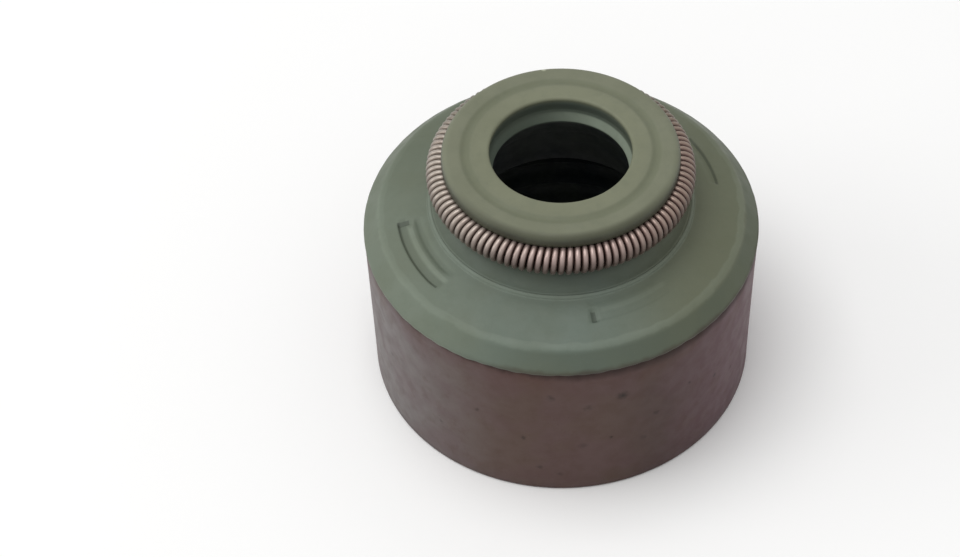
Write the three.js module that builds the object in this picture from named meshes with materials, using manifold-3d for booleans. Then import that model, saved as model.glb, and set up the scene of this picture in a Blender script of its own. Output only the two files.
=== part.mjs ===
// Valve stem seal: rubber moulded on a pressed steel case, with a garter spring round its nose.
// Millimetres, +Z up. The origin is the middle of the case's lower rim, where the seal stands.

import * as THREE from 'three';
import { ParametricGeometry } from 'three/addons/geometries/ParametricGeometry.js';
import { mergeVertices } from 'three/addons/utils/BufferGeometryUtils.js';
import Module from 'manifold-3d';

const wasm = await Module();
wasm.setup();

// Steel case: a skirt, a bend and a flange that points inwards
const caseRadius = 7.98;
const caseHeight = 8.0;
const sheet = 0.7;
const bendInside = 0.25;
const flangeBore = 4.9;
const rimRound = 0.12;

// Rubber outside: a band over the bend, a near-flat shoulder, a low collar and the neck
const coverAngle = 30;
const bandProud = 0.02;
const bandRound = 0.05;
const bandHeight = 0.12;
const bandWidth = 0.67;
const shoulderCover = 0.38;
const shoulderRise = 0.47;
const shoulderRound = 0.35;
const collarStep = 0.14;
const collarRound = 0.13;
const collarWidth = 0.73;
const neckFillet = 0.62;

// Shallow pockets that the mould leaves in the shoulder
const pocketCount = 4;
const pocketStart = -170.5;
const pocketSweep = 32.5;
const pocketWidth = 0.6;
const pocketDepth = 0.1;

// Garter spring: close turns of wire, bent into a ring
const springRadius = 4.74;
const springLift = 1.55;
const coilDiameter = 1.2;
const wireDiameter = 0.24;
const springTurns = 108;
const springClearance = 0.04;

// Nose: the flange above the spring, its top face and the ring pressed into it
const neckInset = 0.12;
const noseInset = 0.04;
const noseLift = 1.14;
const noseRound = 0.38;
const faceRingRadius = 3.77;
const faceRingWidth = 0.3;
const faceRingDepth = 0.07;

// Stem bore: mouth, undercut, sealing lip and the passage below it
const lipRadius = 2.7;
const lipDepth = 1.18;
const mouthWiden = 0.08;
const mouthRound = 0.12;
const undercutWiden = 0.2;
const undercutDepth = 0.66;
const throatWiden = 0.7;
const throatDepth = 1.3;
const boreCover = 0.9;

// Guide socket: the stop face under the flange and the ribbed lining of the skirt
const stopPad = 0.3;
const stopClearance = 0.05;
const liningThickness = 1.35;
const ribHeight = 0.3;
const ribCount = 4;
const liningBottom = 0.7;
const leadIn = 1.1;

// Fineness of the surfaces
const ringSegments = 48;
const stepsPerTurn = 7;
const wireSides = 5;

// Sizes that follow from the ones above
const skirtInside = caseRadius - sheet;
const bendOutside = bendInside + sheet;
const bendMiddle = [skirtInside - bendInside, caseHeight - bendOutside];
const bandRadius = caseRadius + bandProud;
const edgeRadius = bandRadius - bandWidth;
const edgeHeight = caseHeight + shoulderCover;
const neckRadius = springRadius - neckInset;
const collarRadius = neckRadius + collarWidth;
const shoulderTop = edgeHeight + shoulderRise;
const collarTop = shoulderTop + collarStep;
const springHeight = collarTop + springLift;
const grooveRadius = coilDiameter / 2 + springClearance;
const noseRadius = springRadius - noseInset;
const noseTop = springHeight + noseLift;
const mouthRadius = lipRadius + mouthWiden;
const lipHeight = noseTop - lipDepth;
const stopFace = caseHeight - sheet - stopPad;
const passageRadius = flangeBore - boreCover;
const liningRadius = skirtInside - liningThickness;
const liningFoot = liningBottom + leadIn;

const degrees = THREE.MathUtils.degToRad;

// Points of a round stretch about a middle, from one angle to another
function arc([r, z], radius, from, to, steps) {
  const points = [];
  for (let i = 0; i <= steps; i += 1) {
    const angle = degrees(from + (to - from) * i / steps);
    points.push([r + radius * Math.cos(angle), z + radius * Math.sin(angle)]);
  }
  return points;
}

// Rounded corner between two straight legs, tangent to both
function corner(before, at, after, radius, steps = 3) {
  const [p, q, s] = [before, at, after].map(([r, z]) => new THREE.Vector2(r, z));
  const toBefore = p.clone().sub(q).normalize();
  const toAfter = s.clone().sub(q).normalize();
  const half = Math.acos(toBefore.dot(toAfter)) / 2;
  const reach = Math.min(radius / Math.tan(half), p.distanceTo(q), s.distanceTo(q));
  const bisector = toBefore.clone().add(toAfter).normalize();
  const middle = q.clone().addScaledVector(bisector, reach / Math.cos(half));
  const first = q.clone().addScaledVector(toBefore, reach).sub(middle);
  const last = q.clone().addScaledVector(toAfter, reach).sub(middle);
  const turn = Math.atan2(first.cross(last), first.dot(last));
  const points = [];
  for (let i = 0; i <= steps; i += 1) {
    const spoke = first.clone().rotateAround(new THREE.Vector2(), turn * i / steps);
    points.push([middle.x + spoke.x, middle.y + spoke.y]);
  }
  return points;
}

// Ring turned about the Z axis from a closed outline of [radius, height] points
function turned(outline) {
  const closed = [...outline, outline[0]].map(([r, z]) => new THREE.Vector2(r, z));
  return new THREE.LatheGeometry(closed, ringSegments).rotateX(Math.PI / 2);
}

function toSolid(geometry) {
  const bare = geometry.clone();
  bare.deleteAttribute('normal');
  bare.deleteAttribute('uv');
  const merged = mergeVertices(bare);
  return new wasm.Manifold(new wasm.Mesh({
    numProp: 3,
    vertProperties: merged.attributes.position.array,
    triVerts: new Uint32Array(merged.index.array),
  }));
}

function toGeometry(solid) {
  const { vertProperties, triVerts } = solid.getMesh();
  const geometry = new THREE.BufferGeometry();
  geometry.setAttribute('position', new THREE.BufferAttribute(vertProperties, 3));
  geometry.setIndex(new THREE.BufferAttribute(triVerts, 1));
  geometry.computeVertexNormals();
  return geometry;
}

// Surfaces where rubber and steel are bonded, so both outlines use the same points
function bareBend() {
  return arc(bendMiddle, bendOutside, 0, coverAngle, 2);
}

function coveredBend() {
  return arc(bendMiddle, bendOutside, coverAngle, 90, 4);
}

function insideBend() {
  return arc(bendMiddle, bendInside, 90, 0, 3);
}

function caseOutline() {
  const outerRim = [caseRadius, 0];
  const innerRim = [skirtInside, 0];
  return [
    ...corner(innerRim, outerRim, [caseRadius, sheet], rimRound, 2),
    ...bareBend(),
    ...coveredBend().slice(1),
    [flangeBore, caseHeight],
    [flangeBore, caseHeight - sheet],
    ...insideBend(),
    ...corner([skirtInside, sheet], innerRim, outerRim, rimRound, 2),
  ];
}

// Outside of the rubber, from the case's bend up to the spring groove
function shoulderOutline() {
  const [coverStart] = coveredBend();
  const bandFoot = [bandRadius, coverStart[1]];
  const bandHead = [bandRadius, coverStart[1] + bandHeight];
  const edge = [edgeRadius, edgeHeight];
  const collarFoot = [collarRadius, shoulderTop];
  const collarEdge = [collarRadius, collarTop];
  const neckFoot = [neckRadius, collarTop];
  return [
    ...corner(coverStart, bandFoot, bandHead, bandRound, 2),
    ...corner(bandFoot, bandHead, edge, bandHeight, 2),
    ...corner(bandHead, edge, collarFoot, shoulderRound, 3),
    collarFoot,
    ...corner(collarFoot, collarEdge, neckFoot, collarRound, 2),
    ...corner(collarEdge, neckFoot, [neckRadius, springHeight], neckFillet, 4),
  ];
}

// Spring groove and nose: the groove follows the spring's coil at its clearance
function noseOutline() {
  const grooveFoot = 180 + THREE.MathUtils.radToDeg(Math.acos(neckInset / grooveRadius));
  const grooveHead = 180 - THREE.MathUtils.radToDeg(Math.acos(noseInset / grooveRadius));
  const noseEdge = [noseRadius, noseTop];
  const mouthEdge = [mouthRadius, noseTop];
  return [
    ...arc([springRadius, springHeight], grooveRadius, grooveFoot, grooveHead, 6),
    ...corner([noseRadius, springHeight], noseEdge, mouthEdge, noseRound),
    [faceRingRadius + faceRingWidth / 2, noseTop],
    [faceRingRadius, noseTop - faceRingDepth],
    [faceRingRadius - faceRingWidth / 2, noseTop],
    ...corner(noseEdge, mouthEdge, [mouthRadius, lipHeight], mouthRound, 2),
  ];
}

// Inside of the rubber, from the undercut down to the lining's lower edge
function boreOutline() {
  const stopEdge = [liningRadius, stopFace];
  const foot = [liningRadius, liningFoot];
  const ribs = [];
  for (let i = 0; i < ribCount; i += 1) {
    const crest = stopFace - (stopFace - liningFoot) * (i + 0.5) / ribCount;
    ribs.push(
      [liningRadius, crest + ribHeight],
      [liningRadius - ribHeight, crest],
      [liningRadius, crest - ribHeight],
    );
  }
  return [
    [lipRadius + undercutWiden, noseTop - undercutDepth],
    [lipRadius, lipHeight],
    [lipRadius + throatWiden, lipHeight - throatDepth],
    [passageRadius, stopFace],
    ...corner([passageRadius, stopFace], stopEdge, foot, ribHeight + stopClearance, 2),
    ...ribs,
    foot,
    [skirtInside, liningBottom],
  ];
}

function rubberOutline() {
  return [
    ...shoulderOutline(),
    ...noseOutline(),
    ...boreOutline(),
    ...insideBend().reverse(),
    [flangeBore, caseHeight - sheet],
    [flangeBore, caseHeight],
    ...coveredBend().reverse(),
  ];
}

// One pocket: a ring that follows the shoulder's slope, kept only within a wedge
function pocketSolid(start) {
  const slope = -shoulderRise / (edgeRadius - collarRadius);
  const middle = (collarRadius + edgeRadius) / 2;
  const shoulderAt = (r) => shoulderTop + slope * (r - collarRadius);
  const [inner, outer] = [middle - pocketWidth / 2, middle + pocketWidth / 2];
  const ring = turned([
    [outer, shoulderAt(outer) - pocketDepth],
    [outer, shoulderAt(outer) + sheet],
    [inner, shoulderAt(inner) + sheet],
    [inner, shoulderAt(inner) - pocketDepth],
  ]);
  const wedge = new THREE.Shape();
  wedge.moveTo(0, 0);
  wedge.absarc(0, 0, bandRadius * 2, degrees(start), degrees(start + pocketSweep));
  wedge.lineTo(0, 0);
  const slice = new THREE.ExtrudeGeometry(wedge, { depth: noseTop, bevelEnabled: false });
  return toSolid(ring).intersect(toSolid(slice));
}

function rubberGeometry() {
  let rubber = toSolid(turned(rubberOutline()));
  for (let i = 0; i < pocketCount; i += 1) {
    rubber = rubber.subtract(pocketSolid(pocketStart + 360 * i / pocketCount));
  }
  return toGeometry(rubber);
}

// Surface of the spring's wire: round a coil whose middle runs round a circle
function springGeometry() {
  const coil = (coilDiameter - wireDiameter) / 2;
  const surface = (u, v, target) => {
    const around = Math.PI * 2 * u;
    const winding = around * springTurns;
    const section = -Math.PI * 2 * v;
    const reach = coil + wireDiameter / 2 * Math.cos(section);
    const r = springRadius + reach * Math.cos(winding);
    const along = wireDiameter / 2 * Math.sin(section);
    target.set(
      r * Math.cos(around) - along * Math.sin(around),
      r * Math.sin(around) + along * Math.cos(around),
      reach * Math.sin(winding),
    );
  };
  return new ParametricGeometry(surface, springTurns * stepsPerTurn, wireSides);
}

function finish(color, roughness, metalness) {
  return new THREE.MeshStandardMaterial({ color, roughness, metalness });
}

function piece(name, geometry, material) {
  const mesh = new THREE.Mesh(geometry, material);
  mesh.name = name;
  return mesh;
}

const greenRubber = finish('#6c7867', 0.6, 0);
const brownSteel = finish('#5c4a44', 0.5, 0.6);
const springWire = finish('#8a7470', 0.35, 0.9);

const spring = piece('garter_spring', springGeometry(), springWire);
spring.position.z = springHeight;

const seal = new THREE.Group();
seal.add(
  piece('metal_case', turned(caseOutline()), brownSteel),
  piece('rubber_body', rubberGeometry(), greenRubber),
  spring,
);

export default seal;
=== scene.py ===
# Valve stem seal: the looks of the rubber, the steel case and the garter spring.
# Metres, +Z up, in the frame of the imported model.

import math
import random

import bpy
import numpy as np
from mathutils import Matrix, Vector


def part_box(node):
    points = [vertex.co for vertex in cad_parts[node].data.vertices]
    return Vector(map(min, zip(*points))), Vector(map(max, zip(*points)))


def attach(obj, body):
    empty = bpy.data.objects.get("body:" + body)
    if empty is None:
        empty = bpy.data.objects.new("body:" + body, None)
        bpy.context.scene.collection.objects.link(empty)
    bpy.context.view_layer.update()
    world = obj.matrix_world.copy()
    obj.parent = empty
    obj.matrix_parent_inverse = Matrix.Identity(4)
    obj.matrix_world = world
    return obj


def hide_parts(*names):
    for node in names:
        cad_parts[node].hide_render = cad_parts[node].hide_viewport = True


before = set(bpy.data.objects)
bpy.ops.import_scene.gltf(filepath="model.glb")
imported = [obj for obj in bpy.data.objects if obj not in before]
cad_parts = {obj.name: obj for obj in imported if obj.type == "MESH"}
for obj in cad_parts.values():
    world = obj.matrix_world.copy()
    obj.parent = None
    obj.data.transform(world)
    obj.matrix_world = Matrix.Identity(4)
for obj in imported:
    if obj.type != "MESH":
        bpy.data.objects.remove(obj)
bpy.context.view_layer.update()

MM = 0.001

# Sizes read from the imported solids
case_low, case_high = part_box("metal_case")
rubber_low, rubber_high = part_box("rubber_body")
spring_low, spring_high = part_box("garter_spring")
CASE_RADIUS = case_high.x
CASE_HEIGHT = case_high.z
BAND_RADIUS = rubber_high.x
NOSE_TOP = rubber_high.z
LINING_BOTTOM = rubber_low.z
SPRING_HEIGHT = (spring_low.z + spring_high.z) / 2

# Steel case
SHEET = 0.7 * MM
BEND_INSIDE = 0.25 * MM
FLANGE_BORE = 4.9 * MM
RIM_ROUND = 0.12 * MM
COVER_ANGLE = 30.0

# Rubber outside
BAND_ROUND = 0.05 * MM
BAND_HEIGHT = 0.12 * MM
BAND_WIDTH = 0.67 * MM
SHOULDER_COVER = 0.38 * MM
SHOULDER_RISE = 0.47 * MM
SHOULDER_ROUND = 0.35 * MM
COLLAR_STEP = 0.14 * MM
COLLAR_ROUND = 0.13 * MM
COLLAR_WIDTH = 0.73 * MM
NECK_FILLET = 0.62 * MM

# Garter spring
COIL_DIAMETER = 1.2 * MM
WIRE_DIAMETER = 0.262 * MM
SPRING_TURNS = 108
SPRING_CLEARANCE = 0.04 * MM

# Nose and bore
NECK_INSET = 0.12 * MM
NOSE_INSET = 0.04 * MM
NOSE_ROUND = 0.28 * MM
FACE_RING_RADIUS = 3.77 * MM
FACE_RING_WIDTH = 0.42 * MM
FACE_RING_DEPTH = 0.07 * MM
FACE_RING_ROUND = 0.3 * MM
LIP_RADIUS = 2.7 * MM
LIP_DEPTH = 1.18 * MM
LIP_ROUND = 0.04 * MM
MOUTH_WIDEN = 0.08 * MM
MOUTH_ROUND = 0.12 * MM
UNDERCUT_WIDEN = 0.2 * MM
UNDERCUT_DEPTH = 0.66 * MM
UNDERCUT_ROUND = 0.2 * MM
THROAT_WIDEN = 0.7 * MM
THROAT_DEPTH = 1.3 * MM
BORE_COVER = 0.9 * MM

# Guide socket
STOP_PAD = 0.3 * MM
STOP_CLEARANCE = 0.05 * MM
STOP_ROUND = 0.08 * MM
LINING_THICKNESS = 1.35 * MM
RIB_HEIGHT = 0.3 * MM
RIB_ROUND = 0.08 * MM
RIB_COUNT = 4
LEAD_IN = 1.1 * MM
HEM_ROUND = 0.2 * MM

# Moulded marks in the shoulder
MARK_DEPTH = 0.1 * MM
MARK_TRENCH = 0.42 * MM
MARK_HOLLOW = 0.8 * MM
MARK_HOLLOW_WIDTH = 0.15 * MM
MARK_CAP = 0.62 * MM

# Each mark: start and sweep in degrees, radius of the outer wall in mm, depth of the wall and
# of the valley behind the ridge as shares of the whole depth
MARKS = [
    (-171.0, 33.0, 6.60, 1.0, 0.9),
    (-79.5, 30.5, 6.36, 0.12, 0.25),
    (8.7, 25.0, 6.43, 0.9, 0.0),
    (99.5, 32.5, 6.60, 0.8, 0.5),
]

# Light speck on the rim of the nose: angle in degrees, radius and depth in mm
SPECK_ANGLE = 98.5
SPECK_RADIUS = 4.54
SPECK_DEPTH = 0.02

# Dark spots on the case: angle in degrees, height, radius in mm and strength
CASE_SPOTS = [
    (-72.8, 5.78, 0.17, 0.9), (-82.6, 5.34, 0.13, 0.5), (-93.2, 6.07, 0.12, 0.5),
    (-75.8, 3.23, 0.06, 0.9), (-39.6, 3.82, 0.07, 0.8), (-50.5, 4.70, 0.06, 0.7),
    (-115.0, 4.41, 0.07, 0.6), (-101.3, 3.34, 0.08, 0.6), (-96.7, 1.47, 0.1, 0.5),
    (-90.6, 1.06, 0.09, 0.4), (-62.0, 3.9, 0.1, 0.5), (-84.0, 2.9, 0.14, 0.35),
    (-66.0, 2.6, 0.1, 0.4), (-128.0, 2.4, 0.09, 0.4), (-30.0, 2.9, 0.07, 0.5),
    (24.0, 4.6, 0.12, 0.6), (61.0, 2.7, 0.09, 0.6), (98.0, 5.3, 0.13, 0.7),
    (133.0, 3.6, 0.08, 0.6), (166.0, 5.0, 0.12, 0.5), (-150.0, 3.9, 0.08, 0.5),
]

# Unevenness: the band's foot is ragged and lower on one side, the skirt has shallow dents,
# and the wire's turns are dented and shifted
FOOT_RAGGED = 0.09 * MM
FOOT_LEAN = 0.05 * MM
FOOT_LOW_SIDE = -135.0
FOOT_DOWN = 0.11 * MM
FOOT_UP = 0.05 * MM
FOOT_ZONE = 0.22 * MM
SKIRT_DENT = 0.03 * MM
WIRE_DENT = 0.012 * MM
TURN_SHIFT = 0.008 * MM

# Fineness of the meshes
RING_SEGMENTS = 432
SEEN_STEP = 0.13 * MM
MARKED_STEP = 0.05 * MM
MARKED_INSIDE = 5.5 * MM
MARKED_OUTSIDE = 6.7 * MM
HIDDEN_STEP = 0.6 * MM
STEPS_PER_TURN = 24
WIRE_SIDES = 12

# Sizes that follow from the ones above
SKIRT_INSIDE = CASE_RADIUS - SHEET
BEND_OUTSIDE = BEND_INSIDE + SHEET
BEND_MIDDLE = (SKIRT_INSIDE - BEND_INSIDE, CASE_HEIGHT - BEND_OUTSIDE)
EDGE_RADIUS = BAND_RADIUS - BAND_WIDTH
EDGE_HEIGHT = CASE_HEIGHT + SHOULDER_COVER
SPRING_RADIUS = spring_high.x - COIL_DIAMETER / 2
NECK_RADIUS = SPRING_RADIUS - NECK_INSET
COLLAR_RADIUS = NECK_RADIUS + COLLAR_WIDTH
SHOULDER_TOP = EDGE_HEIGHT + SHOULDER_RISE
COLLAR_TOP = SHOULDER_TOP + COLLAR_STEP
GROOVE_RADIUS = COIL_DIAMETER / 2 + SPRING_CLEARANCE
NOSE_RADIUS = SPRING_RADIUS - NOSE_INSET
MOUTH_RADIUS = LIP_RADIUS + MOUTH_WIDEN
LIP_HEIGHT = NOSE_TOP - LIP_DEPTH
STOP_FACE = CASE_HEIGHT - SHEET - STOP_PAD
PASSAGE_RADIUS = FLANGE_BORE - BORE_COVER
LINING_RADIUS = SKIRT_INSIDE - LINING_THICKNESS
LINING_FOOT = LINING_BOTTOM + LEAD_IN
BAND_FOOT = BEND_MIDDLE[1] + BEND_OUTSIDE * math.sin(math.radians(COVER_ANGLE))

# The same places in millimetres, for the materials
CASE_TOP = CASE_HEIGHT / MM
CASE_WALL = CASE_RADIUS / MM
FOOT_LEVEL = BAND_FOOT / MM
BAND_WALL = BAND_RADIUS / MM
EDGE = EDGE_RADIUS / MM
COLLAR_WALL = COLLAR_RADIUS / MM
COLLAR_LEVEL = COLLAR_TOP / MM
NOSE_WALL = NOSE_RADIUS / MM
TOP = NOSE_TOP / MM
RING = FACE_RING_RADIUS / MM
LIP_WALL = LIP_RADIUS / MM
LIP_LEVEL = LIP_HEIGHT / MM
STOP_LEVEL = STOP_FACE / MM
COIL_MIDDLE = SPRING_RADIUS / MM
COIL_LEVEL = SPRING_HEIGHT / MM


# Outlines

def arc(middle, radius, start, end, steps):
    """Points of a round stretch about a middle, from one angle in degrees to another."""
    angles = [math.radians(start + (end - start) * i / steps) for i in range(steps + 1)]
    return [(middle[0] + radius * math.cos(a), middle[1] + radius * math.sin(a)) for a in angles]


def corner(before, at, after, radius, steps):
    """Rounded corner between two straight legs, tangent to both."""
    p, q, s = (np.array(point) for point in (before, at, after))
    to_before = (p - q) / np.linalg.norm(p - q)
    to_after = (s - q) / np.linalg.norm(s - q)
    half = math.acos(to_before @ to_after) / 2
    reach = min(radius / math.tan(half), np.linalg.norm(p - q), np.linalg.norm(s - q))
    bisector = (to_before + to_after) / np.linalg.norm(to_before + to_after)
    middle = q + bisector * reach / math.cos(half)
    first = q + to_before * reach - middle
    last = q + to_after * reach - middle
    turn = math.atan2(first[0] * last[1] - first[1] * last[0], first @ last)
    points = []
    for i in range(steps + 1):
        c, d = math.cos(turn * i / steps), math.sin(turn * i / steps)
        turned_first = (c * first[0] - d * first[1], d * first[0] + c * first[1])
        points.append((middle[0] + turned_first[0], middle[1] + turned_first[1]))
    return points


def stepped(points, step):
    """The same open line with extra points, so that no stretch is longer than the step."""
    fine = []
    for (r0, z0), (r1, z1) in zip(points, points[1:]):
        count = max(1, math.ceil(math.hypot(r1 - r0, z1 - z0) / step))
        fine += [(r0 + (r1 - r0) * i / count, z0 + (z1 - z0) * i / count) for i in range(count)]
    return fine + [points[-1]]


def covered_bend(steps):
    return arc(BEND_MIDDLE, BEND_OUTSIDE, COVER_ANGLE, 90, steps)


def inside_bend(steps):
    return arc(BEND_MIDDLE, BEND_INSIDE, 90, 0, steps)


def shoulder_outline():
    cover_start = covered_bend(1)[0]
    band_foot = (BAND_RADIUS, BAND_FOOT)
    band_head = (BAND_RADIUS, BAND_FOOT + BAND_HEIGHT)
    edge = (EDGE_RADIUS, EDGE_HEIGHT)
    collar_foot = (COLLAR_RADIUS, SHOULDER_TOP)
    collar_edge = (COLLAR_RADIUS, COLLAR_TOP)
    neck_foot = (NECK_RADIUS, COLLAR_TOP)
    slope = SHOULDER_RISE / (EDGE_RADIUS - COLLAR_RADIUS)
    marked = [(r, EDGE_HEIGHT + (EDGE_RADIUS - r) * slope) for r in (MARKED_OUTSIDE, MARKED_INSIDE)]
    return [
        cover_start,
        *corner(cover_start, band_foot, band_head, BAND_ROUND, 3),
        *corner(band_foot, band_head, edge, BAND_HEIGHT, 3),
        *corner(band_head, edge, collar_foot, SHOULDER_ROUND, 6),
        *stepped(marked, MARKED_STEP),
        *corner(edge, collar_foot, collar_edge, COLLAR_ROUND / 2, 3),
        *corner(collar_foot, collar_edge, neck_foot, COLLAR_ROUND, 5),
        *corner(collar_edge, neck_foot, (NECK_RADIUS, SPRING_HEIGHT), NECK_FILLET, 9),
    ]


def nose_outline():
    groove_foot = 180 + math.degrees(math.acos(NECK_INSET / GROOVE_RADIUS))
    groove_head = 180 - math.degrees(math.acos(NOSE_INSET / GROOVE_RADIUS))
    nose_edge = (NOSE_RADIUS, NOSE_TOP)
    mouth_edge = (MOUTH_RADIUS, NOSE_TOP)
    undercut = (LIP_RADIUS + UNDERCUT_WIDEN, NOSE_TOP - UNDERCUT_DEPTH)
    lip = (LIP_RADIUS, LIP_HEIGHT)
    throat = (LIP_RADIUS + THROAT_WIDEN, LIP_HEIGHT - THROAT_DEPTH)
    ring_out = (FACE_RING_RADIUS + FACE_RING_WIDTH / 2, NOSE_TOP)
    ring_low = (FACE_RING_RADIUS, NOSE_TOP - FACE_RING_DEPTH)
    ring_in = (FACE_RING_RADIUS - FACE_RING_WIDTH / 2, NOSE_TOP)
    return [
        *arc((SPRING_RADIUS, SPRING_HEIGHT), GROOVE_RADIUS, groove_foot, groove_head, 10),
        *corner((NOSE_RADIUS, SPRING_HEIGHT), nose_edge, mouth_edge, NOSE_ROUND, 8),
        *corner(nose_edge, ring_out, ring_low, FACE_RING_ROUND, 3),
        *corner(ring_out, ring_low, ring_in, FACE_RING_ROUND, 4),
        *corner(ring_low, ring_in, mouth_edge, FACE_RING_ROUND, 3),
        *corner(nose_edge, mouth_edge, undercut, MOUTH_ROUND, 6),
        *corner(mouth_edge, undercut, lip, UNDERCUT_ROUND, 6),
        *corner(undercut, lip, throat, LIP_ROUND, 5),
        throat,
    ]


def socket_outline():
    throat = (LIP_RADIUS + THROAT_WIDEN, LIP_HEIGHT - THROAT_DEPTH)
    stop_edge = (PASSAGE_RADIUS, STOP_FACE)
    stop_corner = (LINING_RADIUS, STOP_FACE)
    points = [
        throat,
        *corner(throat, stop_edge, stop_corner, STOP_ROUND, 3),
        *corner(stop_edge, stop_corner, (LINING_RADIUS, 0), RIB_HEIGHT + STOP_CLEARANCE, 5),
    ]
    for i in range(RIB_COUNT):
        crest = STOP_FACE - (STOP_FACE - LINING_FOOT) * (i + 0.5) / RIB_COUNT
        above = (LINING_RADIUS, crest + RIB_HEIGHT)
        tip = (LINING_RADIUS - RIB_HEIGHT, crest)
        below = (LINING_RADIUS, crest - RIB_HEIGHT)
        points += [above, *corner(above, tip, below, RIB_ROUND, 4), below]
    foot = (LINING_RADIUS, LINING_FOOT)
    hem = (SKIRT_INSIDE, LINING_BOTTOM)
    return points + [*corner(stop_corner, foot, hem, HEM_ROUND, 4), hem]


def rubber_outline():
    """Closed outline: seen surfaces finely stepped, bonded and inner ones coarsely."""
    shoulder = stepped(shoulder_outline(), SEEN_STEP)
    nose = stepped([shoulder[-1], *nose_outline()], SEEN_STEP)
    inner = stepped(socket_outline(), HIDDEN_STEP)
    bonded = [
        *inside_bend(4)[::-1],
        (FLANGE_BORE, CASE_HEIGHT - SHEET),
        (FLANGE_BORE, CASE_HEIGHT),
        *covered_bend(6)[::-1][:-1],
    ]
    return shoulder[:-1] + nose + inner[1:] + bonded


def case_outline():
    outer_rim = (CASE_RADIUS, 0.0)
    inner_rim = (SKIRT_INSIDE, 0.0)
    skirt = stepped([
        *corner(inner_rim, outer_rim, (CASE_RADIUS, SHEET), RIM_ROUND, 5),
        *arc(BEND_MIDDLE, BEND_OUTSIDE, 0, COVER_ANGLE, 5),
    ], HIDDEN_STEP)
    return [
        *skirt,
        *covered_bend(6)[1:],
        (FLANGE_BORE, CASE_HEIGHT),
        (FLANGE_BORE, CASE_HEIGHT - SHEET),
        *inside_bend(4),
        *corner((SKIRT_INSIDE, SHEET), inner_rim, outer_rim, RIM_ROUND, 5),
    ]


# Meshes

def wobble(angle, seed, waves, amount):
    """Smooth closed unevenness round the axis: a few sine waves with seeded phases."""
    draw = random.Random(seed)
    total = np.zeros_like(angle)
    for wave in waves:
        total += draw.uniform(0.4, 1.0) * np.sin(wave * angle + draw.uniform(0, 2 * math.pi))
    return total * amount / len(waves)


def smooth_step(low, high, value):
    t = np.clip((value - low) / (high - low), 0.0, 1.0)
    return t * t * (3 - 2 * t)


def grid_mesh(name, points, rows, columns):
    """Closed mesh from a grid of points that wraps round both ways."""
    index = np.arange(rows * columns).reshape(rows, columns)
    after_row = np.roll(index, -1, 0)
    after_column = np.roll(index, -1, 1)
    after_both = np.roll(after_row, -1, 1)
    faces = np.stack([index, after_column, after_both, after_row], -1).reshape(-1, 4)
    mesh = bpy.data.meshes.new(name)
    mesh.from_pydata(points.reshape(-1, 3).tolist(), [], faces.tolist())
    mesh.shade_smooth()
    piece = bpy.data.objects.new(name, mesh)
    bpy.context.scene.collection.objects.link(piece)
    return piece


def turned(name, outline, shape):
    """Ring turned about the Z axis, with each point moved by shape(r, z, angle)."""
    r, z = (np.array(values)[:, None] for values in zip(*outline))
    angle = np.linspace(0, 2 * math.pi, RING_SEGMENTS, endpoint=False)[None, :]
    r, z, angle = np.broadcast_arrays(r, z, angle)
    r, z = shape(r, z, angle)
    points = np.stack([r * np.cos(angle), r * np.sin(angle), z], -1)
    return grid_mesh(name, points, *r.shape)


def mark_drop(r, angle):
    """Depth of the moulded marks: a steep outer wall, a soft ridge and a valley behind it."""
    total = np.zeros_like(r)
    for start, sweep, outer, wall, valley in MARKS:
        inward = outer * MM - r
        wall_side = smooth_step(-0.04 * MM, 0.03 * MM, inward)
        trench = wall_side * smooth_step(MARK_TRENCH, 0.04 * MM, inward)
        hollow = np.exp(-((inward - MARK_HOLLOW) / MARK_HOLLOW_WIDTH) ** 2)
        cap = wall_side * smooth_step(MARK_CAP, MARK_CAP - 0.12 * MM, inward)
        along = (np.degrees(angle) - start) % 360
        ends = smooth_step(0, 0.8, along) * smooth_step(sweep + 1.5, sweep - 4, along)
        first = smooth_step(0, 0.6, along) * smooth_step(3.0, 1.4, along)
        total += np.maximum((wall * trench + valley * hollow) * ends, cap * first * (valley > 0))
    return total * MARK_DEPTH


def shape_rubber(r, z, angle):
    """Sinks the marks into the shoulder and makes the band's foot uneven."""
    on_shoulder = (r > COLLAR_RADIUS) & (z > CASE_HEIGHT + SHOULDER_COVER * 0.8)
    drop = np.where(on_shoulder, mark_drop(r, angle), 0.0)
    on_band = r > CASE_RADIUS - 0.1 * MM
    near_foot = np.where(on_band, smooth_step(BAND_FOOT + FOOT_ZONE, BAND_FOOT, z), 0.0)
    ragged = wobble(angle, 3, (7, 11, 19, 31, 47, 76), FOOT_RAGGED)
    lean = FOOT_LEAN * np.cos(angle - math.radians(FOOT_LOW_SIDE))
    return r, z - drop + near_foot * np.clip(ragged - lean, -FOOT_DOWN, FOOT_UP)


def shape_case(r, z, angle):
    """Presses shallow dents into the bare part of the skirt."""
    bend = BEND_MIDDLE[1]
    outside = (r > BEND_MIDDLE[0] + BEND_INSIDE) & (z < bend)
    bare = smooth_step(0, 1.0 * MM, z) * smooth_step(bend, 5 * MM, z) * outside
    return r - bare * np.abs(wobble(angle, 5, (2, 3, 5, 9), SKIRT_DENT)), z


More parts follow.
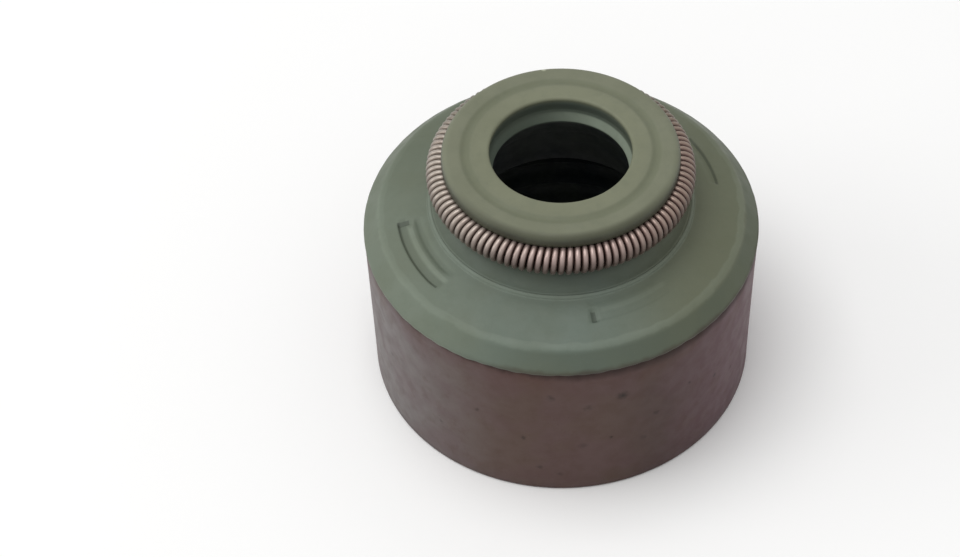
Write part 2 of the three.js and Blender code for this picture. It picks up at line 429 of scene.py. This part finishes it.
def spring_piece():
    """Wire wound round a coil whose middle runs round the seal's axis."""
    coil = (COIL_DIAMETER - WIRE_DIAMETER) / 2
    steps = SPRING_TURNS * STEPS_PER_TURN
    around = np.linspace(0, 2 * math.pi, steps, endpoint=False)[:, None]
    section = np.linspace(0, -2 * math.pi, WIRE_SIDES, endpoint=False)[None, :]
    around, section = np.broadcast_arrays(around, section)
    winding = around * SPRING_TURNS
    reach = coil + WIRE_DIAMETER / 2 * np.cos(section)
    reach = reach - np.abs(wobble(around, 11, (5, 31, 57, 83), WIRE_DENT))
    along = WIRE_DIAMETER / 2 * np.sin(section) + wobble(around, 12, (23, 41, 77), TURN_SHIFT)
    r = SPRING_RADIUS + reach * np.cos(winding)
    points = np.stack([
        r * np.cos(around) - along * np.sin(around),
        r * np.sin(around) + along * np.cos(around),
        SPRING_HEIGHT + reach * np.sin(winding),
    ], -1)
    return grid_mesh("garter_spring_wire", points, steps, WIRE_SIDES)


# Materials

class Shading:
    """Builds one node material. Its places are in millimetres and its angles in degrees."""

    def __init__(self, name):
        self.material = bpy.data.materials.new(name)
        self.material.use_nodes = True
        self.nodes = self.material.node_tree.nodes
        self.links = self.material.node_tree.links
        self.shader = self.nodes["Principled BSDF"]
        place = self.nodes.new("ShaderNodeTexCoord")
        self.place = self.vector("MULTIPLY", place.outputs["Object"], (1 / MM,) * 3)
        split = self.nodes.new("ShaderNodeSeparateXYZ")
        self.put(split.inputs[0], self.place)
        self.x, self.y, self.z = (split.outputs[axis] for axis in "XYZ")
        flat = self.vector("MULTIPLY", self.place, (1, 1, 0))
        self.r = self.vector("LENGTH", flat, (0, 0, 0))
        self.angle = self.math("MULTIPLY", self.math("ARCTAN2", self.y, self.x), 180 / math.pi)

    def put(self, socket, value):
        if hasattr(value, "node"):
            self.links.new(value, socket)
        else:
            socket.default_value = value

    def vector(self, operation, a, b):
        node = self.nodes.new("ShaderNodeVectorMath")
        node.operation = operation
        self.put(node.inputs[0], a)
        self.put(node.inputs[1], b)
        return node.outputs["Value" if operation in ("DISTANCE", "LENGTH") else "Vector"]

    def math(self, operation, a, b=0.0, c=0.0):
        node = self.nodes.new("ShaderNodeMath")
        node.operation = operation
        for socket, value in zip(node.inputs, (a, b, c)):
            self.put(socket, value)
        return node.outputs[0]

    def ramp(self, value, low, high, start=0.0, end=1.0):
        node = self.nodes.new("ShaderNodeMapRange")
        node.interpolation_type = "SMOOTHSTEP"
        for name, given in (("Value", value), ("From Min", low), ("From Max", high),
                            ("To Min", start), ("To Max", end)):
            self.put(node.inputs[name], given)
        return node.outputs[0]

    def noise(self, scale, detail, roughness=0.5):
        node = self.nodes.new("ShaderNodeTexNoise")
        self.put(node.inputs["Vector"], self.place)
        node.inputs["Scale"].default_value = scale
        node.inputs["Detail"].default_value = detail
        node.inputs["Roughness"].default_value = roughness
        return node.outputs["Fac"]

    def mix(self, factor, a, b):
        node = self.nodes.new("ShaderNodeMix")
        node.data_type = "RGBA"
        self.put(node.inputs["Factor"], factor)
        self.put(node.inputs["A"], a)
        self.put(node.inputs["B"], b)
        return node.outputs["Result"]

    def tint(self, body, shade, *factors):
        """The body with an sRGB shade laid over it, as strongly as the factors' product."""
        total = factors[0]
        for factor in factors[1:]:
            total = self.math("MULTIPLY", total, factor)
        return self.mix(total, body, colour(*shade))

    def within(self, value, low, high, soft):
        """1 between two limits, falling to 0 over a soft margin beyond them."""
        rise = self.ramp(value, low - soft, low)
        fall = self.ramp(value, high, high + soft, 1.0, 0.0)
        return self.math("MULTIPLY", rise, fall)

    def away_from(self, degrees, radius, height):
        """Distance from the place at an angle, a radius and a height."""
        turn = math.radians(degrees)
        place = (radius * math.cos(turn), radius * math.sin(turn), height)
        return self.vector("DISTANCE", self.place, place)

    def bump(self, value, strength, distance):
        node = self.nodes.new("ShaderNodeBump")
        node.inputs["Strength"].default_value = strength
        node.inputs["Distance"].default_value = distance
        self.put(node.inputs["Height"], value)
        normal = self.shader.inputs["Normal"]
        if normal.links:
            self.links.new(normal.links[0].from_socket, node.inputs["Normal"])
        self.links.new(node.outputs["Normal"], normal)


def colour(red, green, blue):
    """An sRGB colour, 0 to 255, as the linear colour that a shader takes."""
    linear = []
    for value in (red, green, blue):
        v = value / 255
        linear.append(v / 12.92 if v <= 0.04045 else ((v + 0.055) / 1.055) ** 2.4)
    return (*linear, 1.0)


def rubber_tones_and_painted_light(m):
    """Green-grey, with painted light: lighter at the left, darker and yellower towards the right, and
    a lighter top face, with painted shade in the face's ring.
    """
    # Painted light: the left side lighter, the right side darker and yellower.
    body = m.tint(colour(106, 115, 101), (100, 111, 101), m.ramp(m.x, -6.5, -0.5))
    body = m.tint(body, (97, 101, 82), m.ramp(m.x, 0.5, 6.0))
    # Painted light on the lighter top face, and painted shade in its ring groove.
    face = m.tint(colour(119, 122, 101), (115, 118, 99), m.ramp(m.r, RING - 0.57, RING + 0.13))
    face = m.tint(face, (106, 110, 90), m.within(m.r, RING - 0.12, RING + 0.1, 0.16))
    return m.mix(m.ramp(m.z, TOP - 0.35, TOP - 0.05), body, face)


def rubber_wear_and_painted_light(m, body):
    """A line of wear along the shoulder's edge, partly a painted highlight, painted shade on the band
    below it and along the band's foot, and a painted highlight on the collar's crease.
    """
    ragged = m.math("MULTIPLY", m.noise(1.3, 3.0), 0.3)
    # Wear with a painted highlight along the shoulder's rounded edge.
    edge_wear_and_highlight = m.within(m.math("ADD", m.r, ragged), EDGE + 0.01, EDGE + 0.19, 0.1)
    body = m.tint(body, (142, 152, 138), edge_wear_and_highlight, 0.16)
    # Painted shade on the band below the edge, stronger at the right.
    band = m.ramp(m.r, EDGE + 0.03, EDGE + 0.21)
    body = m.tint(body, (74, 82, 70), band, m.ramp(m.x, -4.5, 0.0, 0.1, 0.62))
    # Painted highlight on the collar's crease.
    crease = m.within(m.r, COLLAR_WALL - 0.08, COLLAR_WALL, 0.06)
    body = m.tint(body, (135, 146, 134), crease, 0.3)
    # Painted shade along the band's foot, where it meets the case, stronger towards the right.
    foot = m.ramp(m.math("SUBTRACT", m.z, ragged), FOOT_LEVEL + 0.1, FOOT_LEVEL - 0.1)
    band_face = m.ramp(m.r, BAND_WALL - 0.15, BAND_WALL - 0.05)
    return m.tint(body, (62, 54, 46), foot, band_face, m.ramp(m.x, -4.5, -1.0, 0.0, 0.8))


def rubber_shade(m, body):
    """Painted shade on the neck, the nose's side and front rounding and the back of the shoulder,
    painted shade in the bore, socket and undercut, and a painted highlight on the cone over the lip.
    """
    outside = m.ramp(m.r, NOSE_WALL - 0.4, NOSE_WALL - 0.3)
    # Painted shade on the neck under the spring.
    neck = m.ramp(m.z, COLLAR_LEVEL - 0.04, COLLAR_LEVEL + 0.61)
    body = m.tint(body, (38, 44, 34), neck, m.ramp(m.z, TOP - 0.38, TOP - 0.58), outside, 0.75)
    # Painted shade down the nose's side.
    side = m.ramp(m.z, TOP - 0.01, TOP - 0.3)
    body = m.tint(body, (46, 42, 32), side, m.ramp(m.z, TOP - 0.78, TOP - 0.58), outside, 0.85)
    # Painted shade on the nose's rounding at the front.
    rounding = m.ramp(m.r, NOSE_WALL - 0.36, NOSE_WALL - 0.08)
    front = m.ramp(m.y, -1.2, -4.0)
    body = m.tint(body, (54, 54, 41), front, rounding, m.ramp(m.z, TOP - 0.68, TOP - 0.48), 0.65)
    # Painted shade on the back of the shoulder, stronger at the left.
    shoulder = m.ramp(m.r, COLLAR_WALL - 0.35, COLLAR_WALL + 0.15)
    back = m.ramp(m.y, -1.5, 4.0)
    body = m.tint(body, (86, 93, 76), back, m.ramp(m.x, 2.0, -3.0, 0.45, 1.0), shoulder, 0.6)

    # Painted shade: the bore and socket nearly black inside.
    below_lip = m.ramp(m.z, LIP_LEVEL, LIP_LEVEL - 0.25)
    bore = m.math("MULTIPLY", below_lip, m.ramp(m.r, NOSE_WALL - 0.4, NOSE_WALL - 0.5))
    inside = m.math("MAXIMUM", bore, m.ramp(m.z, STOP_LEVEL + 0.4, STOP_LEVEL + 0.3))
    body = m.tint(body, (5, 20, 29), inside, 0.95)
    # Painted shade under the mouth's overhang.
    mouth = m.ramp(m.r, LIP_WALL + 0.4, LIP_WALL + 0.3)
    body = m.tint(body, (30, 36, 28), m.within(m.z, TOP - 0.73, TOP - 0.43, 0.2), mouth, 0.3)
    # Painted highlight on the cone over the lip, at the right.
    cone = m.within(m.z, LIP_LEVEL + 0.05, LIP_LEVEL + 0.35, 0.08)
    return m.tint(body, (170, 182, 164), cone, mouth, m.ramp(m.x, -1.5, 1.5), 0.6)


def mark_painted_shade_and_highlight(m, body):
    """Painted shade on the walls, floors and valleys of the moulded marks, and painted highlights on
    their ridges.
    """
    marked = body
    for start, sweep, outer, wall, valley in MARKS:
        end = start + sweep
        along = m.math("WRAP", m.angle, start + 180, start - 180)
        # Painted shade on each mark's outer wall.
        line = m.within(m.r, outer - 0.06, outer, 0.035)
        marked = m.tint(marked, (44, 50, 40), line, m.within(along, start, end, 0.4), 0.6 * wall)
        if valley:
            # Painted shade on the short wall at the mark's start.
            dash = m.within(m.r, outer - MARK_TRENCH / MM, outer, 0.05)
            dash_ends = m.within(along, start + 0.3, start + 1.6, 0.5)
            marked = m.tint(marked, (42, 48, 40), dash, dash_ends, 0.5)
            # Painted highlight on the ridge, and painted shade on the trench's floor and in the
            # valley behind.
            ridge = m.within(m.r, outer - 0.5, outer - 0.4, 0.08)
            ridge_ends = m.within(along, start + 5, end, 2.5)
            marked = m.tint(marked, (150, 160, 145), ridge, ridge_ends, 0.3 * valley)
            ground = m.within(m.r, outer - 0.28, outer - 0.06, 0.06)
            ground_ends = m.within(along, start, end, 2.0)
            marked = m.tint(marked, (70, 78, 66), ground, ground_ends, 0.35 * valley)
            trough = m.within(m.r, outer - 0.86, outer - 0.72, 0.1)
            trough_ends = m.within(along, start + 4, end, 3.0)
            marked = m.tint(marked, (70, 80, 68), trough, trough_ends, 0.25 * valley)
    return m.mix(m.ramp(m.z, CASE_TOP, CASE_TOP + 0.2), body, marked)


def rubber_material():
    m = Shading("green_rubber")
    body = mark_painted_shade_and_highlight(m, rubber_shade(m, rubber_wear_and_painted_light(m, rubber_tones_and_painted_light(m))))
    speck = m.away_from(SPECK_ANGLE, SPECK_RADIUS, TOP - SPECK_DEPTH)
    body = m.tint(body, (170, 174, 152), m.ramp(speck, 0.14, 0.05))
    body = m.tint(body, (94, 98, 78), m.ramp(m.noise(0.5, 3.0), 0.35, 0.65, 0.0, 0.2))
    body = m.tint(body, (84, 92, 78), m.ramp(m.noise(2.6, 4.0, 0.6), 0.45, 0.75, 0.0, 0.14))
    body = m.tint(body, (150, 156, 140), m.ramp(m.noise(11.0, 3.0, 0.7), 0.68, 0.75, 0.0, 0.2))
    m.put(m.shader.inputs["Base Color"], body)
    m.put(m.shader.inputs["Roughness"], m.ramp(m.noise(1.1, 3.0), 0.3, 0.7, 0.48, 0.62))
    m.shader.inputs["Specular IOR Level"].default_value = 0.25
    m.bump(m.noise(22.0, 3.0, 0.6), 0.25, 0.01 * MM)
    m.bump(m.noise(1.4, 2.0, 0.5), 0.4, 0.06 * MM)
    return m.material


def steel_tones_and_painted_reflection(m):
    """Greyer and lighter at the left as a painted reflection, brown at the front and redder at the
    right, with patches that are darker and redder towards the top.
    """
    # Painted reflection: the left lighter and greyer.
    body = m.tint(colour(106, 100, 99), (80, 61, 53), m.ramp(m.x, -7.5, -1.5))
    body = m.tint(body, (69, 51, 47), m.ramp(m.x, 1.0, 4.5))
    body = m.tint(body, (89, 64, 70), m.ramp(m.x, 3.5, 7.5))
    patches = m.ramp(m.noise(0.55, 3.0), 0.35, 0.65)
    body = m.tint(body, (78, 52, 42), m.ramp(m.z, CASE_TOP - 2.6, CASE_TOP - 0.7), patches, 0.55)
    body = m.tint(body, (84, 60, 64), m.ramp(m.noise(0.45, 3.0, 0.5), 0.38, 0.62, 0.0, 0.35))
    body = m.tint(body, (72, 50, 40), m.ramp(m.noise(1.7, 4.0, 0.6), 0.45, 0.72, 0.0, 0.32))
    return m.tint(body, (50, 36, 33), m.ramp(m.noise(14.0, 2.0, 0.6), 0.68, 0.76, 0.0, 0.5))


def steel_spots_and_painted_shadow(m, body):
    """Painted shadow under the rubber's foot, darker along the lower rim, and dark spots between
    them.
    """
    # Painted shadow under the rubber band's overhang, reaching lower at the right.
    ragged = m.math("MULTIPLY", m.noise(1.1, 4.0, 0.6), 0.5)
    shadow_foot = m.ramp(m.x, -3.0, 2.0, CASE_TOP - 0.5, CASE_TOP - 0.85)
    under = m.ramp(m.math("ADD", m.z, ragged), shadow_foot, CASE_TOP - 0.25)
    body = m.tint(body, (38, 24, 19), under, 0.9)
    rim_height = m.math("ADD", m.z, m.math("MULTIPLY", m.noise(1.9, 4.0), 0.9))
    body = m.tint(body, (56, 44, 44), m.ramp(rim_height, 0.9, 0.3), 0.5)
    smudge = m.math("MULTIPLY", m.math("SUBTRACT", m.noise(5.0, 3.0, 0.6), 0.5), 0.35)
    for degrees, height, radius, strength in CASE_SPOTS:
        away = m.math("ADD", m.away_from(degrees, CASE_WALL, height), smudge)
        body = m.tint(body, (30, 16, 12), m.ramp(away, radius * 2.0, 0.0), strength)
    return body


def steel_material():
    m = Shading("brown_steel")
    m.put(m.shader.inputs["Base Color"], steel_spots_and_painted_shadow(m, steel_tones_and_painted_reflection(m)))
    m.shader.inputs["Metallic"].default_value = 0.2
    m.put(m.shader.inputs["Roughness"], m.ramp(m.noise(1.5, 4.0), 0.3, 0.7, 0.48, 0.6))
    m.shader.inputs["Specular IOR Level"].default_value = 0.3
    m.bump(m.noise(9.0, 4.0, 0.65), 0.2, 0.015 * MM)
    return m.material


def spring_material():
    """Wire with a painted highlight on each turn's crest, a darker brown between the turns, and
    painted shade on the coil's lower side and towards the back.
    """
    m = Shading("spring_wire")
    out = m.math("SUBTRACT", m.r, COIL_MIDDLE)
    up = m.math("SUBTRACT", m.z, COIL_LEVEL)
    winding = m.math("DIVIDE", m.math("ARCTAN2", up, out), 2 * math.pi)
    turn = m.math("SUBTRACT", m.math("MULTIPLY", m.angle, SPRING_TURNS / 360), winding)
    across = m.math("PINGPONG", turn, 0.5)
    # Painted highlight on the crest of each turn, lighter at the left.
    crest = m.tint(colour(164, 155, 145), (168, 148, 142), m.ramp(m.x, -5.0, 0.0))
    crest = m.tint(crest, (142, 124, 112), m.ramp(m.x, 1.0, 5.0))
    crest = m.tint(crest, (128, 106, 100), m.ramp(m.noise(1.2, 3.0), 0.4, 0.7, 0.0, 0.3))
    # Darker brown between the crests, with painted light making it lighter at the left.
    between_turns = m.tint(colour(128, 116, 106), (100, 78, 72), m.ramp(m.x, -5.0, -1.0))
    body = m.mix(m.ramp(across, 0.14, 0.4), crest, between_turns)
    # Painted shade on the coil's lower side.
    lower = m.ramp(up, 0.5, 0.1)
    body = m.tint(body, (66, 54, 48), lower, m.ramp(m.x, -5.0, -2.0, 0.4, 0.7))
    # Painted shade towards the back, darker and greener.
    body = m.tint(body, (86, 82, 66), m.ramp(m.y, 0.8, 3.6), 0.65)
    m.put(m.shader.inputs["Base Color"], body)
    m.shader.inputs["Metallic"].default_value = 0.5
    m.put(m.shader.inputs["Roughness"], m.ramp(m.noise(6.0, 3.0), 0.3, 0.7, 0.3, 0.44))
    m.bump(m.noise(20.0, 3.0), 0.15, 0.01 * MM)
    return m.material


# Pieces on the frame

def dress(piece, node, material):
    """Puts a piece in the place of a CAD node, which gets the same material."""
    piece.data.materials.append(material)
    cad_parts[node].data.materials.clear()
    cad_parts[node].data.materials.append(material)
    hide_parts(node)
    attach(piece, "root")


rubber = turned("rubber_skin", rubber_outline(), shape_rubber)
dress(rubber, "rubber_body", rubber_material())
case = turned("case_shell", case_outline(), shape_case)
dress(case, "metal_case", steel_material())
dress(spring_piece(), "garter_spring", spring_material())


# Floor, light and camera

FLOOR_SIZE = 4.0
BACKDROP = 1.0
WORLD_LIGHT = 0.53

# Lamps: azimuth and elevation in degrees, with 0 at the front and -90 at the left, then
# distance and size in metres, and strength
LAMPS = {
    "key": (-85, 77, 0.4, 0.3, 0.5),
    "left_fill": (-85, 22, 0.4, 0.25, 0.22),
}


def floor_piece():
    mesh = bpy.data.meshes.new("floor")
    half = FLOOR_SIZE / 2
    corners = [(-half, -half, 0), (half, -half, 0), (half, half, 0), (-half, half, 0)]
    mesh.from_pydata(corners, [], [(0, 1, 2, 3)])
    floor = bpy.data.objects.new("floor", mesh)
    bpy.context.scene.collection.objects.link(floor)
    material = bpy.data.materials.new("floor_white")
    material.use_nodes = True
    shader = material.node_tree.nodes["Principled BSDF"]
    shader.inputs["Base Color"].default_value = (0.985, 0.985, 0.98, 1)
    shader.inputs["Roughness"].default_value = 0.9
    shader.inputs["Specular IOR Level"].default_value = 0.1
    mesh.materials.append(material)


def set_world():
    world = bpy.data.worlds.new("studio")
    bpy.context.scene.world = world
    world.use_nodes = True
    nodes, links = world.node_tree.nodes, world.node_tree.links
    light = nodes["Background"]
    light.inputs["Strength"].default_value = WORLD_LIGHT
    white = nodes.new("ShaderNodeBackground")
    white.inputs["Strength"].default_value = BACKDROP
    for node in (light, white):
        node.inputs["Color"].default_value = (1, 1, 1, 1)
    path = nodes.new("ShaderNodeLightPath")
    seen = path.outputs["Is Camera Ray"]
    for name in ("Is Glossy Ray", "Is Transmission Ray"):
        either = nodes.new("ShaderNodeMath")
        either.operation = "MAXIMUM"
        links.new(seen, either.inputs[0])
        links.new(path.outputs[name], either.inputs[1])
        seen = either.outputs[0]
    mix = nodes.new("ShaderNodeMixShader")
    links.new(seen, mix.inputs["Fac"])
    links.new(light.outputs[0], mix.inputs[1])
    links.new(white.outputs[0], mix.inputs[2])
    links.new(mix.outputs[0], nodes["World Output"].inputs["Surface"])


def area_light(name, azimuth, elevation, distance, size, strength):
    """A square lamp aimed at the seal. Strength is the light that it adds to a white face."""
    lamp = bpy.data.lights.new(name, "AREA")
    lamp.size = size
    lamp.energy = strength * (math.pi * distance) ** 2
    holder = bpy.data.objects.new(name, lamp)
    turn = Matrix.Rotation(math.radians(azimuth), 4, "Z")
    tilt = Matrix.Rotation(math.radians(90 - elevation), 4, "X")
    holder.matrix_world = turn @ tilt @ Matrix.Translation((0, 0, distance))
    bpy.context.scene.collection.objects.link(holder)


# The photo's view, fitted to the seal's rings: angles in degrees, lengths in outer radii,
# and the photo's width, focal length and axis in its pixels
VIEW_ELEVATION = 49.335
VIEW_ROLL = -0.341
VIEW_DISTANCE = 11.011
VIEW_HEIGHT = 0.488
PHOTO_WIDTH = 960
PHOTO_FOCAL = 2102.6
PHOTO_AXIS = 561.5
SENSOR_WIDTH = 36.0


def set_camera():
    data = bpy.data.cameras.new("camera")
    data.sensor_width = SENSOR_WIDTH
    data.sensor_fit = "HORIZONTAL"
    data.lens = PHOTO_FOCAL * SENSOR_WIDTH / PHOTO_WIDTH
    data.shift_x = (PHOTO_WIDTH / 2 - PHOTO_AXIS) / PHOTO_WIDTH
    data.clip_start = 5 * MM
    camera = bpy.data.objects.new("camera", data)
    look = Matrix.Translation((0, 0, VIEW_HEIGHT * BAND_RADIUS))
    tilt = Matrix.Rotation(math.radians(90 - VIEW_ELEVATION), 4, "X")
    roll = Matrix.Rotation(math.radians(VIEW_ROLL), 4, "Z")
    back = Matrix.Translation((0, 0, VIEW_DISTANCE * BAND_RADIUS))
    camera.matrix_world = look @ tilt @ roll @ back
    bpy.context.scene.collection.objects.link(camera)
    bpy.context.scene.camera = camera


floor_piece()
set_world()
for name, setting in LAMPS.items():
    area_light(name, *setting)
set_camera()
bpy.context.scene.view_settings.view_transform = "Standard"
